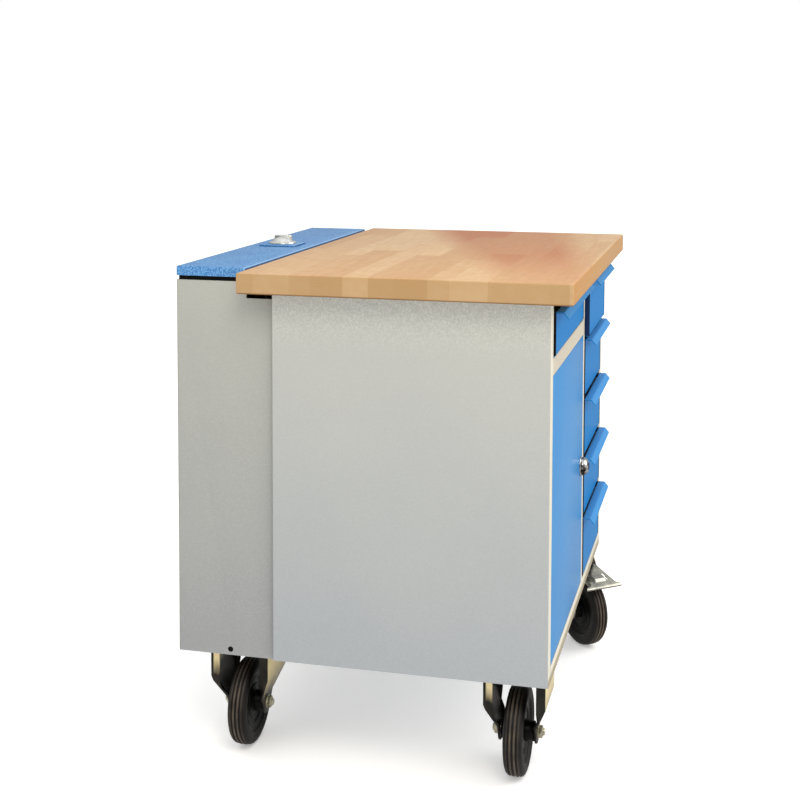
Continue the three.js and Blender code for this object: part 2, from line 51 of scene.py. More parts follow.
# ---- driving dimensions, the same as the part's, but the drawer faces are drawn a little narrower ----
SHEET = 1.5
SIDE = {"bottom": 190, "top": 819.7, "back": 470, "post": 25, "return": 6}
WORKTOP_BOTTOM = 820
MID_RAIL_BOTTOM, MID_RAIL_TOP = 697, 725
DOOR = (27, 438.5, 218.5, 696, 18)  # left, right, bottom, top, depth
LOCK_X, LOCK_Z = 412, 450
LEFT_FACE = (33, 436, 727, 799)  # left, right, bottom, top
RIGHT_FACE = (464, 739)  # left, right
FIRST_TOP, PITCH, FACE_GAP, LAST_BOTTOM = 799, 116.4, 6.5, 219.5
HOUSING_INSET, HOUSING_LOW_RIM = 12, 806
SIDE_HOLE_Y, SIDE_HOLE_Z = 551, 197
LID = {"left": 10, "right": 760, "front": 521, "back": 645, "bottom": 841.5, "top": 857.5}
AXLE_Z, TRAIL, SWIVEL_ANGLE = 75, 46, -140
FIXED_X = 92
ROWS = {
    "front": {"fixed_y": 62.5, "swivel": (722, 53.5)},
    "rear": {"fixed_y": 546, "swivel": (710, 546)},
}


def metres(length):
    return length / 1000


# ---- node helpers ----
def colour(red, green, blue):
    """A display colour, 0 to 255, as the linear colour that Blender's sockets take."""
    linear = [((c / 255 + 0.055) / 1.055) ** 2.4 if c > 10 else c / 3294 for c in (red, green, blue)]
    return (*linear, 1)


class Finish:
    """A material with one Principled shader, and small node chains to feed it."""

    def __init__(self, name, **constants):
        self.material = bpy.data.materials.new(name)
        self.material.use_nodes = True
        self.tree = self.material.node_tree
        self.shader = self.tree.nodes["Principled BSDF"]
        for socket, value in constants.items():
            self.shader.inputs[socket.replace("_", " ")].default_value = value
        self.place = self.tree.nodes.new("ShaderNodeTexCoord").outputs["Object"]

    def put(self, target, value):
        if isinstance(value, bpy.types.NodeSocket):
            self.tree.links.new(value, target)
        else:
            target.default_value = value

    def feed(self, socket, value):
        self.put(self.shader.inputs[socket], value)

    def stretched(self, scale):
        node = self.tree.nodes.new("ShaderNodeMapping")
        self.put(node.inputs["Vector"], self.place)
        node.inputs["Scale"].default_value = scale
        return node.outputs["Vector"]

    def noise(self, size, detail=2, stretch=(1, 1, 1)):
        """Soft noise from 0 to 1 whose lumps are about size millimetres across."""
        node = self.tree.nodes.new("ShaderNodeTexNoise")
        self.put(node.inputs["Vector"], self.stretched(stretch))
        node.inputs["Scale"].default_value = 1000 / size
        node.inputs["Detail"].default_value = detail
        return node.outputs["Fac"]

    def cells(self, size):
        """Crystals of about that size in millimetres, each with its own colour."""
        node = self.tree.nodes.new("ShaderNodeTexVoronoi")
        self.put(node.inputs["Vector"], self.place)
        node.inputs["Scale"].default_value = 1000 / size
        return node.outputs["Color"]

    def random(self, value):
        """A number from 0 to 1 that depends on nothing but the value."""
        node = self.tree.nodes.new("ShaderNodeTexWhiteNoise")
        node.noise_dimensions = "1D"
        self.put(node.inputs["W"], value)
        return node.outputs["Value"]

    def axis(self, letter):
        node = self.tree.nodes.new("ShaderNodeSeparateXYZ")
        self.put(node.inputs[0], self.place)
        return node.outputs[letter]

    def facing(self, letter):
        """How far the surface faces along an axis, from -1 to 1."""
        node = self.tree.nodes.new("ShaderNodeSeparateXYZ")
        self.put(node.inputs[0], self.tree.nodes.new("ShaderNodeTexCoord").outputs["Normal"])
        return node.outputs[letter]

    def calc(self, operation, *values):
        node = self.tree.nodes.new("ShaderNodeMath")
        node.operation = operation
        for socket, value in zip(node.inputs, values):
            self.put(socket, value)
        return node.outputs[0]

    def product(self, first, second):
        return self.calc("MULTIPLY", first, second)

    def total(self, first, second):
        return self.calc("ADD", first, second)

    def size_of(self, value):
        return self.calc("ABSOLUTE", value)

    def remap(self, value, low, high, start, end):
        """start where the value is low, end where it is high, in between on the way."""
        node = self.tree.nodes.new("ShaderNodeMapRange")
        for socket, number in zip(node.inputs, (value, low, high, start, end)):
            self.put(socket, number)
        return node.outputs["Result"]

    def blend(self, share, first, second):
        """The first colour, with that share of the second mixed in."""
        node = self.tree.nodes.new("ShaderNodeMix")
        node.data_type = "RGBA"
        self.put(node.inputs["Factor"], share)
        self.put(node.inputs[6], first)
        self.put(node.inputs[7], second)
        return node.outputs[2]

    def bump(self, height, depth):
        """Relief with that depth in millimetres."""
        node = self.tree.nodes.new("ShaderNodeBump")
        node.inputs["Strength"].default_value = 1
        node.inputs["Distance"].default_value = metres(depth)
        self.put(node.inputs["Height"], height)
        return node.outputs["Normal"]


# ---- materials ----
def blue_coat(name, dark, light, rough):
    """Baked satin coat: a fine pebbled skin whose grains catch a little more or less light."""
    f = Finish(name, Specular_IOR_Level=0.2)
    pebbles = f.noise(1.6, 3)
    cloud = f.remap(f.noise(260, 2), 0.3, 0.7, -0.2, 0.2)
    tone = f.total(f.remap(pebbles, 0.35, 0.65, 0.35, 0.65), cloud)
    f.feed("Base Color", f.blend(tone, colour(*dark), colour(*light)))
    f.feed("Roughness", f.remap(pebbles, 0.3, 0.7, rough - 0.06, rough + 0.06))
    f.feed("Normal", f.bump(pebbles, 0.012))
    return f.material


def grey_coat(name, low, high, front, glint_share):
    """Light grey powder coat with painted light: paler and yellower towards the top, with painted glints near
    the worktop, and creamier on the front faces.
    """
    f = Finish(name, Specular_IOR_Level=0.5)
    pebbles = f.noise(2.4, 3)
    cloud = f.remap(f.noise(300, 2), 0.3, 0.7, -0.12, 0.12)
    # painted light: the coat grows paler and yellower with height, with a random cloudy tone on top
    rise = f.total(f.remap(f.axis("Z"), 0.2, 0.8, 0, 1), cloud)
    shade = f.blend(rise, colour(*low), colour(*high))
    # painted highlight: pale glints in the pebbled skin, stronger towards the worktop
    near_top = f.remap(f.axis("Z"), metres(WORKTOP_BOTTOM - 100), metres(WORKTOP_BOTTOM), 0.06, glint_share)
    painted_glints = f.product(f.remap(pebbles, 0.4, 0.68, 0, 1), near_top)
    shade = f.blend(painted_glints, shade, colour(236, 236, 226))
    # painted shade: the front is darker and browner along its foot, and darker on the rail between the left
    # drawer and the door
    foot = f.remap(f.axis("Z"), metres(SIDE["bottom"] + 10), metres(SIDE["bottom"] + 18), 0.8, 0)
    front_light_and_shade = f.blend(foot, colour(*front), colour(138, 122, 90))
    rail_middle = metres((MID_RAIL_BOTTOM + MID_RAIL_TOP) / 2)
    rail_half = metres((MID_RAIL_TOP - MID_RAIL_BOTTOM) / 2)
    off_rail = f.size_of(f.calc("SUBTRACT", f.axis("Z"), rail_middle))
    between_posts = f.calc("LESS_THAN", f.size_of(f.axis("X")), metres(ORIGIN_X - SIDE["post"] - 2))
    rail = f.product(f.remap(off_rail, rail_half + 0.001, rail_half + 0.004, 0.6, 0), between_posts)
    front_light_and_shade = f.blend(rail, front_light_and_shade, colour(168, 156, 138))
    # painted light: faces turned to the front take the paler, creamier front colour
    shade = f.blend(f.remap(f.facing("Y"), -0.9, -0.4, 1, 0), shade, front_light_and_shade)
    f.feed("Base Color", shade)
    f.feed("Roughness", f.remap(pebbles, 0.3, 0.7, 0.44, 0.56))
    f.feed("Normal", f.bump(pebbles, 0.05))
    return f.material


def drawer_coat():
    """Blue satin coat on the drawers with painted light and shade: paler on top of the handles, deeper blue
    on the faces below them.
    """
    f = Finish("blue_drawer_coat_with_painted_light", Specular_IOR_Level=0.2, IOR=1.09)
    pebbles = f.noise(1.6, 3)
    face = f.blend(f.remap(pebbles, 0.35, 0.65, 0, 1), colour(17, 108, 172), colour(30, 120, 184))
    # painted light: the upward-facing handle tops are paler; painted shade: the faces below keep the deeper
    # blue
    f.feed("Base Color", f.blend(f.remap(f.facing("Z"), 0.2, 0.6, 0, 0.9), face, colour(76, 143, 201)))
    f.feed("Roughness", f.remap(pebbles, 0.3, 0.7, 0.28, 0.4))
    f.feed("Normal", f.bump(pebbles, 0.012))
    return f.material


def structure_coat():
    """Coarse blue structure paint, with a painted highlight along the front folds and painted shade on the
    front faces below them.
    """
    f = Finish("blue_structure_coat")
    pebbles = f.noise(2.7, 3)
    cloud = f.remap(f.noise(120, 2), 0.3, 0.7, -0.15, 0.15)
    tone = f.total(f.remap(pebbles, 0.36, 0.64, -0.5, 1.5), cloud)
    shade = f.blend(tone, colour(44, 106, 166), colour(98, 154, 204))
    front = f.facing("Y")
    # painted highlight along the front folds, then painted shade on the faces turned to the front
    fold = f.product(f.remap(front, -0.05, -0.25, 0, 1), f.remap(front, -0.96, -0.8, 0, 1))
    shade = f.blend(f.product(fold, 0.6), shade, colour(150, 190, 228))
    shade = f.blend(f.remap(front, -0.8, -0.95, 0, 0.8), shade, colour(22, 70, 124))
    f.feed("Base Color", shade)
    f.feed("Roughness", f.remap(pebbles, 0.3, 0.7, 0.4, 0.52))
    f.feed("Normal", f.bump(pebbles, 0.25))
    return f.material


def boards(f):
    """A random number for each board; staves run along x, of uneven width, and are butted end to end."""
    staves_per_metre, boards_per_metre = 21, 1.7
    y = f.axis("Y")
    wave = f.product(f.calc("SINE", f.product(y, 61)), 0.2)
    stave = f.calc("FLOOR", f.total(f.product(y, staves_per_metre), wave))
    start = f.product(f.random(stave), 7)
    along = f.calc("FLOOR", f.total(f.product(f.axis("X"), boards_per_metre), start))
    return f.random(f.total(stave, f.product(along, 0.37)))


def growth_rings(f, board):
    """Shells round a pith that lies somewhere beyond each board, from -1 to 1."""
    core_z = metres(WORKTOP_BOTTOM + 20)
    other = f.random(f.total(board, 5.3))
    y = f.total(f.axis("Y"), f.remap(board, 0, 1, -0.12, 0.12))
    z = f.total(f.calc("SUBTRACT", f.axis("Z"), core_z), f.remap(other, 0, 1, -0.16, 0.16))
    distance = f.calc("SQRT", f.total(f.product(y, y), f.product(z, z)))
    wander = f.product(f.noise(260, 2, (0.25, 1, 1)), 0.02)
    return f.calc("SINE", f.product(f.total(distance, wander), 2600))


def heartwood(f, board):
    """The share of a redder patch in the top, which widens from the left end to the right end."""
    x, y = f.axis("X"), f.axis("Y")
    inner = f.remap(f.calc("MULTIPLY_ADD", x, -0.36, y), -0.12, -0.04, 1, 0)
    outer = f.remap(f.calc("MULTIPLY_ADD", x, -0.2, y), -0.32, -0.25, 0, 1)
    patch = f.noise(300, 1, (0.6, 1.6, 1))
    strength = f.remap(f.total(patch, board), 0.6, 1.3, 0.6, 1)
    return f.product(f.product(inner, outer), f.product(f.remap(x, -0.45, 0, 0.3, 1), strength))


def beech():
    """Glued beech staves that run along x, each cut from its own log, under a satin lacquer."""
    f = Finish("beech_staves", Specular_IOR_Level=0.26, Coat_Weight=0.04, Coat_Roughness=0.2)
    board = boards(f)
    rings = growth_rings(f, board)
    streaks = f.noise(2.4, 3, (0.03, 1, 1))
    flecks = f.remap(f.noise(0.9, 2, (0.09, 1, 1)), 0.62, 0.72, 0, 1)
    stains = f.remap(f.noise(24, 3, (1, 1, 1.6)), 0.35, 0.65, 0, 0.22)
    ends = f.remap(f.size_of(f.facing("X")), 0.5, 0.9, 0, 1)
    # painted shade: these masks darken the long edges, the faces underneath and a band along the bottom of
    # the slab
    edges = f.remap(f.size_of(f.facing("Y")), 0.5, 0.9, 0, 1)
    below = f.remap(f.facing("Z"), -0.1, -0.7, 0, 1)
    rim = f.remap(f.axis("Z"), metres(WORKTOP_BOTTOM + 0.5), metres(WORKTOP_BOTTOM + 3.5), 0.7, 0)

    along = f.blend(board, colour(200, 158, 110), colour(219, 186, 142))
    along = f.blend(heartwood(f, board), along, colour(180, 99, 46))
    along = f.blend(f.remap(rings, -1, 1, 0, 0.16), along, colour(176, 130, 86))
    along = f.blend(f.remap(streaks, 0.35, 0.7, 0, 0.3), along, colour(178, 132, 90))
    along = f.blend(f.product(flecks, 0.3), along, colour(150, 100, 62))
    # painted shade: the long edges are darker and more golden than the top
    along = f.blend(f.product(edges, 0.85), along, colour(178, 129, 62))
    end_grain = f.blend(board, colour(168, 135, 92), colour(190, 160, 120))
    end_grain = f.blend(f.remap(rings, -1, 1, 0, 0.35), end_grain, colour(150, 116, 74))
    wood = f.blend(ends, along, end_grain)
    wood = f.blend(stains, wood, colour(168, 126, 80))
    # painted shade: a darker band along the bottom of the slab, and darker faces underneath
    wood = f.blend(rim, wood, colour(140, 98, 52))
    f.feed("Base Color", f.blend(below, wood, colour(120, 84, 44)))
    f.feed("Roughness", f.remap(streaks, 0.3, 0.7, 0.34, 0.46))
    f.feed("Normal", f.bump(f.total(streaks, f.product(rings, 0.3)), 0.05))
    return f.material


def metal(name, dark, light, rough, grain, depth=0.02, patch=34):
    """Bare or plated metal with fine grain, duller and brighter in patches of that size."""
    f = Finish(name, Metallic=1)
    fine = f.noise(grain, 3)
    cloud = f.noise(patch, 3)
    f.feed("Base Color", f.blend(f.remap(cloud, 0.35, 0.65, 0, 1), colour(*dark), colour(*light)))
    f.feed("Roughness", f.remap(f.total(fine, cloud), 0.7, 1.3, rough - 0.08, rough + 0.1))
    f.feed("Normal", f.bump(fine, depth))
    return f.material


def fork_zinc():
    """Yellow zinc on a fixed fork with painted light: a creamy painted highlight outside and high up, painted
    dark reflection and shade inside the fork and low down.
    """
    f = Finish("yellow_zinc", Specular_IOR_Level=0.5)
    fine = f.noise(1.2, 3)
    cloud = f.noise(26, 3, (1, 1, 0.5))
    front_y, rear_y = (metres(row["fixed_y"] - ORIGIN_Y) for row in ROWS.values())
    middle_x = metres(FIXED_X - ORIGIN_X)
    in_rear_row = f.calc("GREATER_THAN", f.axis("Y"), 0)
    middle_y = f.calc("MULTIPLY_ADD", in_rear_row, rear_y - front_y, front_y)
    from_middle = f.calc("SUBTRACT", f.axis("Y"), middle_y)
    height = f.calc("MULTIPLY_ADD", cloud, 0.03, f.axis("Z"))
    outside = f.remap(f.product(f.calc("SIGN", from_middle), f.facing("Y")), 0.8, 0.93, 0, 1)
    ahead = f.remap(f.size_of(f.facing("X")), 0.6, 0.95, 0, 1)
    flange = f.product(ahead, f.remap(from_middle, 0.0465, 0.0485, 1, 0))
    web = f.product(f.remap(f.facing("Y"), -0.9, -0.7, 1, 0),
                    f.remap(f.axis("X"), middle_x - 0.012, middle_x + 0.008, 1, 0))
    back_leg = f.product(f.calc("MAXIMUM", flange, web), f.calc("GREATER_THAN", from_middle, 0.01))
    # painted highlight: creamy where the fork faces outwards high up, and on the back leg's upper flange and
    # web
    painted_highlight = f.calc("MAXIMUM", f.product(outside, f.remap(height, 0.1, 0.17, 0, 1)),
                  f.product(back_leg, f.remap(height, 0.155, 0.178, 0, 1)))
    # painted dark reflection and shade everywhere else on the fork
    black = f.blend(f.remap(cloud, 0.4, 0.65, 0, 1), colour(20, 19, 18), colour(46, 42, 36))
    f.feed("Base Color", f.blend(painted_highlight, black, colour(222, 204, 156)))
    f.feed("Metallic", f.remap(painted_highlight, 0, 1, 0.5, 0.2))
    f.feed("Roughness", f.remap(f.total(fine, cloud), 0.7, 1.3, 0.26, 0.42))
    f.feed("Normal", f.bump(fine, 0.02))
    return f.material


def galvanised():
    """Hot-dip spangle: crystals of slightly different grey, a few millimetres wide."""
    f = Finish("galvanised_sheet", Metallic=1)
    spangle = f.remap(f.cells(7), 0, 1, 0, 1)
    f.feed("Base Color", f.blend(spangle, colour(150, 153, 154), colour(192, 195, 196)))
    f.feed("Roughness", f.remap(spangle, 0, 1, 0.32, 0.5))
    f.feed("Normal", f.bump(f.noise(1.4, 2), 0.01))
    return f.material


def rubber(name, dark, light, rough, worn=None, gloss=0.28):
    """Black rubber or plastic, dusty in patches; where the mesh says so it is worn paler."""
    f = Finish(name, Specular_IOR_Level=gloss)
    dust = f.noise(26, 4)
    fine = f.noise(0.7, 2)
    shade = f.blend(f.remap(dust, 0.4, 0.7, 0, 1), colour(*dark), colour(*light))
    if worn:
        wear = f.tree.nodes.new("ShaderNodeAttribute")
        wear.attribute_name = "wear"
        share = f.product(wear.outputs["Fac"], f.remap(dust, 0.35, 0.6, 0.5, 1))
        shade = f.blend(share, shade, colour(*worn))
    f.feed("Base Color", shade)
    f.feed("Roughness", f.remap(dust, 0.35, 0.65, rough - 0.08, rough + 0.1))
    f.feed("Normal", f.bump(f.total(fine, f.product(dust, 0.5)), 0.05))
    return f.material


# the grey coat's front colour: painted light on faces turned to the front
CREAM = (206, 201, 184)
MATERIALS = {
    "beech_top": beech(),
    "grey_paint": grey_coat("grey_powder_coat", (153, 157, 161), (172, 173, 166), CREAM, 0.42),
    "blue_smooth_paint": blue_coat("blue_satin_coat", (20, 118, 182), (40, 134, 197), 0.34),
    "blue_structure_paint": structure_coat(),
    "galvanised_steel": galvanised(),
    "zinc_plate": fork_zinc(),
    "chrome": metal("chrome_plate", (200, 200, 202), (226, 226, 228), 0.14, 2, depth=0.004),
    "tyre_rubber": rubber("tyre_rubber", (17, 16, 15), (31, 28, 24), 0.5, (86, 76, 65)),
    "rim_plastic": rubber("rim_plastic", (7, 7, 7), (13, 13, 12), 0.36, gloss=0.14),
}
SHADED_DRAWER_COAT = drawer_coat()
# painted shade: the housing's grey is the cabinet's coat drawn darker, as it stands back in less light
SHADED_HOUSING_COAT = grey_coat("housing_coat_with_painted_shade", (141, 143, 144), (162, 163, 155), CREAM, 0.06)
PLAIN_ZINC = metal("bright_zinc", (140, 140, 134), (198, 196, 180), 0.24, 1.2)
PALE_ZINC = metal("pale_yellow_zinc", (196, 192, 166), (232, 228, 204), 0.3, 1.2)
# painted shade: a navy copy of the blue, for the folds of the ajar drawer
NAVY = blue_coat("navy_shadow_coat", (8, 34, 76), (14, 46, 96), 0.6)
# painted reflections: dark brown patches on the lock's chrome stand for the dark room it mirrors
CHROME_WITH_PAINTED_REFLECTIONS = metal("chrome_with_painted_reflections", (22, 15, 9), (240, 240, 242), 0.16, 9, depth=0.1, patch=9)
SATIN_METAL = metal("satin_metal", (190, 192, 190), (236, 238, 234), 0.3, 2)
# black rubber for the side hole's plug, and painted shade for the drawer folds, the strips in the lid gap and
# the keyway
DARK_RUBBER_AND_SHADE = rubber("dark_rubber_and_painted_shade", (4, 4, 5), (9, 9, 10), 0.8)


# ---- shapes ----
def arc_corner(before, corner, after, radius, steps):
    """Points of a rounded corner, from the incoming side to the outgoing side."""
    corner = Vector(corner)
    toward = (Vector(before) - corner).normalized()
    away = (Vector(after) - corner).normalized()
    half = toward.angle(away) / 2
    back = radius / math.tan(half)
    start, end = corner + toward * back, corner + away * back
    centre = corner + (toward + away).normalized() * (radius / math.sin(half))
    first, last = start - centre, end - centre
    turn = first.angle_signed(last)
    return [centre + Matrix.Rotation(-turn * i / steps, 2) @ first for i in range(steps + 1)]


def bent(points, radius, steps=5):
    """An open path with its inner corners rounded to that radius."""
    path = [Vector(points[0])]
    for before, corner, after in zip(points, points[1:], points[2:]):
        path += arc_corner(before, corner, after, radius, steps)
    return path + [Vector(points[-1])]


def sheet_outline(path, wall):
    """The closed outline of a sheet of that thickness whose middle follows the path."""
    sides = []
    for i, point in enumerate(path):
        before = path[max(i - 1, 0)]
        after = path[min(i + 1, len(path) - 1)]
        along = (after - before).normalized()
        sides.append(Vector((-along.y, along.x)) * wall / 2)
    return [p + n for p, n in zip(path, sides)] + [p - n for p, n in zip(path, sides)][::-1]


def prism(outline, axis, low, high):
    """A closed outline drawn along an axis: [y, z] points along x, [x, z] along y, [x, y] along z."""
    shape = bmesh.new()
    spots = {
        "x": lambda p, t: (t, p[0], p[1]),
        "y": lambda p, t: (p[0], t, p[1]),
        "z": lambda p, t: (p[0], p[1], t),
    }[axis]
    loops = [[shape.verts.new(spots(p, t)) for p in outline] for t in (low, high)]
    shape.faces.new(loops[0])
    shape.faces.new(loops[1][::-1])
    count = len(outline)
    for i in range(count):
        j = (i + 1) % count
        shape.faces.new((loops[0][j], loops[0][i], loops[1][i], loops[1][j]))
    bmesh.ops.recalc_face_normals(shape, faces=shape.faces[:])
    return shape


def lathe(profile, steps=72, closed=True):
    """A round body about z from [radius, height] points; an open profile starts and ends on the axis."""
    shape = bmesh.new()
    rings = []
    for radius, height in profile:
        if radius < 1e-6:
            rings.append([shape.verts.new((0, 0, height))])
            continue
        turns = [2 * math.pi * i / steps for i in range(steps)]
        rings.append([shape.verts.new((radius * math.cos(a), radius * math.sin(a), height)) for a in turns])
    pairs = list(zip(rings, rings[1:]))
    if closed:
        pairs.append((rings[-1], rings[0]))
    for low, high in pairs:
        for i in range(steps):
            j = (i + 1) % steps
            corners = [low[i % len(low)], low[j % len(low)], high[j % len(high)], high[i % len(high)]]
            unique = list(dict.fromkeys(corners))
            if len(unique) > 2:
                shape.faces.new(unique)
    bmesh.ops.recalc_face_normals(shape, faces=shape.faces[:])
    return shape


def block(x0, x1, y0, y1, z0, z1):
    shape = bmesh.new()
    bmesh.ops.create_cube(shape, size=1)
    size = Matrix.Diagonal((x1 - x0, y1 - y0, z1 - z0, 1))
    shape.transform(Matrix.Translation(((x0 + x1) / 2, (y0 + y1) / 2, (z0 + z1) / 2)) @ size)
    return shape


def rounded_block(x0, x1, y0, y1, z0, z1, radius, steps=3):
    shape = block(x0, x1, y0, y1, z0, z1)
    bmesh.ops.bevel(shape, geom=shape.edges[:], offset=radius, segments=steps, profile=0.5, affect="EDGES")
    return shape


def open_pan(x0, x1, y0, y1, z0, z1, open_side, radius, steps=4):
    """A folded pan: one side open, every fold rounded, and the sheet's thickness turned inwards."""
    shape = block(x0, x1, y0, y1, z0, z1)
    shape.normal_update()
    outward = Vector(open_side)
    lost = [face for face in shape.faces if face.normal.dot(outward) > 0.9]
    bmesh.ops.delete(shape, geom=lost, context="FACES_ONLY")
    folds = [edge for edge in shape.edges if len(edge.link_faces) == 2]
    bmesh.ops.bevel(shape, geom=folds, offset=radius, segments=steps, profile=0.5, affect="EDGES")
    bmesh.ops.recalc_face_normals(shape, faces=shape.faces[:])
    bmesh.ops.solidify(shape, geom=shape.faces[:], thickness=SHEET)
    bmesh.ops.recalc_face_normals(shape, faces=shape.faces[:])
    return shape


def as_mesh(name, shape):
    """A mesh with that shape, which is used up."""
    mesh = bpy.data.meshes.new(name)
    shape.to_mesh(mesh)
    shape.free()
    return mesh


def joined(*shapes):
    whole = bmesh.new()
    for shape in shapes:
        mesh = as_mesh("part", shape)
        whole.from_mesh(mesh)
        bpy.data.meshes.remove(mesh)
    return whole


def carved(shape, tool):
    """The shape with the tool's volume cut away."""
    whole, cutter = (bpy.data.objects.new("part", as_mesh("part", part)) for part in (shape, tool))
    for thing in (whole, cutter):
        scene.collection.objects.link(thing)
    cut = whole.modifiers.new("cut", "BOOLEAN")
    cut.operation = "DIFFERENCE"
    cut.object = cutter
    bpy.context.view_layer.update()
    rest = bmesh.new()
    rest.from_object(whole, bpy.context.evaluated_depsgraph_get())
    for thing in (whole, cutter):
        bpy.data.objects.remove(thing)
    return rest


def smooth_step(low, high, value):
    t = max(0, min(1, (value - low) / (high - low)))
    return t * t * (3 - 2 * t)


def moved(shape, *steps):
    for step in steps:
        shape.transform(step)
    return shape


def shift(x, y, z):
    return Matrix.Translation((x, y, z))


TO_X = Matrix.Rotation(math.pi / 2, 4, "Y")
TO_FRONT = Matrix.Rotation(math.pi / 2, 4, "X")


def piece(name, shape, slot, body, *nodes, material=None, crease=32):
    """Hands a shape drawn in bench millimetres to the frame, with the finish of its slot."""
    shape.transform(BENCH)
    mesh = as_mesh(name, shape)
    mesh.polygons.foreach_set("use_smooth", [True] * len(mesh.polygons))
    mesh.set_sharp_from_angle(angle=math.radians(crease))
    mesh.materials.append(material or MATERIALS[slot])
    thing = bpy.data.objects.new(name, mesh)
    scene.collection.objects.link(thing)
    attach(thing, body)
    if nodes:
        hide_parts(*nodes)


def refined(node, slot, body, edge, material=None, holes=None):
    """A copy of a CAD node with its flat faces merged, its edges rounded and the holes cut out."""
    shape = bmesh.new()
    shape.from_mesh(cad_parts[node].data)
    bmesh.ops.remove_doubles(shape, verts=shape.verts[:], dist=1e-6)
    bmesh.ops.dissolve_limit(shape, angle_limit=math.radians(2), verts=shape.verts[:], edges=shape.edges[:])
    shape.normal_update()
    sharp = [e for e in shape.edges if len(e.link_faces) == 2 and e.calc_face_angle() > math.radians(40)]
    bmesh.ops.bevel(shape, geom=sharp, offset=metres(edge), segments=2, profile=0.5, affect="EDGES",
                    clamp_overlap=False)
    shape.transform(BENCH.inverted())
    if holes:
        shape = carved(shape, holes)
    piece(f"{node}_shape", shape, slot, body, node, material=material)


# ---- worktop and cabinet ----
def add_worktop():
    low, high = (BENCH.inverted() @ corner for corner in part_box("worktop"))
    spans = [end for pair in zip(low, high) for end in pair]
    piece("worktop_slab", rounded_block(*spans, 3, 4), "beech_top", "root", "worktop")


def side_section():
    """The left side sheet seen from above: both its edges are turned in, the front one twice."""
    half = SHEET / 2
    post = SIDE["post"]
    back = SIDE["back"] - half
    corners = [(post - half, SIDE["return"]), (post - half, half), (half, half), (half, back), (post, back)]
    return sheet_outline(bent(corners, 1.9), SHEET)


def add_side_sheets():
    left = side_section()
    right = [(2 * ORIGIN_X - x, y) for x, y in left]
    for side, section in (("left", left), ("right", right)):
        sheet = prism(section, "z", SIDE["bottom"], SIDE["top"])
        piece(f"{side}_side_sheet", sheet, "grey_paint", "root", f"{side}_side_panel")


HOOK_HOLE = {
    "size": 10, "pitch": 38, "columns": 19, "rows": 16, "first_x": 43, "first_z": 237, "y": (576, 580),
}


def hook_holes():
    """Cutters for the tool panel's rows of square holes, which take tool hooks."""
    half = HOOK_HOLE["size"] / 2
    cutters = []
    for column in range(HOOK_HOLE["columns"]):
        for row in range(HOOK_HOLE["rows"]):
            x = HOOK_HOLE["first_x"] + HOOK_HOLE["pitch"] * column
            z = HOOK_HOLE["first_z"] + HOOK_HOLE["pitch"] * row
            square = [(x - half, z - half), (x + half, z - half), (x + half, z + half), (x - half, z + half)]
            cutters.append(prism(square, "y", *HOOK_HOLE["y"]))
    return joined(*cutters)


def add_housing():
    for node in ("left", "right", "back", "base"):
        refined(f"rear_housing_{node}", "grey_paint", "root", 0.4, material=SHADED_HOUSING_COAT)
    refined("tool_panel", "grey_paint", "tool_lift", 0.4, holes=hook_holes())
    plug = lathe([(0, 1.2), (3.8, 1.2), (4.7, 0), (4.7, 6), (0, 6)], 40, closed=False)
    hole = shift(HOUSING_INSET + 0.4, SIDE_HOLE_Y, SIDE_HOLE_Z)
    piece("side_hole_plug", moved(plug, TO_X, hole), "tyre_rubber", "root", material=DARK_RUBBER_AND_SHADE)
    # painted shade: thin dark strips stand in the gap under the lid, where the housing's inside lies in shade
    front, back = LID["front"] + 3, LID["back"] - 3
    for side, x in (("left", LID["left"] + 5), ("right", LID["right"] - 7)):
        gap_strip = rounded_block(x, x + 2, front, back, HOUSING_LOW_RIM, LID["bottom"] - 0.9, 0.6, 2)
        piece(f"housing_gap_shade_{side}", gap_strip, "tyre_rubber", "root", material=DARK_RUBBER_AND_SHADE)


def add_cabinet():
    add_side_sheets()
    for node in ("front_frame", "cabinet_base", "cabinet_back", "centre_partition", "shelf"):
        refined(node, "grey_paint", "root", 0.4)
    add_housing()
    for node in ("left_runner_outer", "left_runner_inner", "right_runners_inner", "right_runners_outer",
                 "panel_guide_left", "panel_guide_right"):
        refined(node, "galvanised_steel", "root", 0.3)


# ---- drawers ----
def drawer_face(x0, x1, bottom, top, slide):
    """A face folded from one sheet: turned back below, and a handle shelf with a sloping lip above."""
    half = SHEET / 2
    y, low, high = 1 + half, bottom + half, top - half
    path = bent([(15, low), (y, low), (y, high), (-12, high), (-20, top - 10.5)], 2)
    return moved(prism(sheet_outline(path, SHEET), "x", x0, x1), shift(0, slide, 0))


def drawer_returns(x0, x1, bottom, top, slide):
    """The short folds at both ends of a drawer's face, drawn in a dark material as painted shade beside it.
    """
    folds = [rounded_block(x, x + 1.2, slide + 0.3, slide + 14, bottom + 1, top - 1, 0.5, 2)
             for x in (x0 - 0.4, x1 - 0.8)]
    return joined(*folds)


def add_drawer(name, span, shadow, place=Matrix()):
    """span holds the face's ends, its bottom and top, and how far it is moved along y."""
    piece(f"{name}_face", moved(drawer_face(*span), place), "blue_smooth_paint", name, f"{name}_front",
          material=SHADED_DRAWER_COAT)
    piece(f"{name}_returns", moved(drawer_returns(*span), place), "blue_smooth_paint", name, material=shadow)
    refined(f"{name}_tray", "grey_paint", name, 0.3)


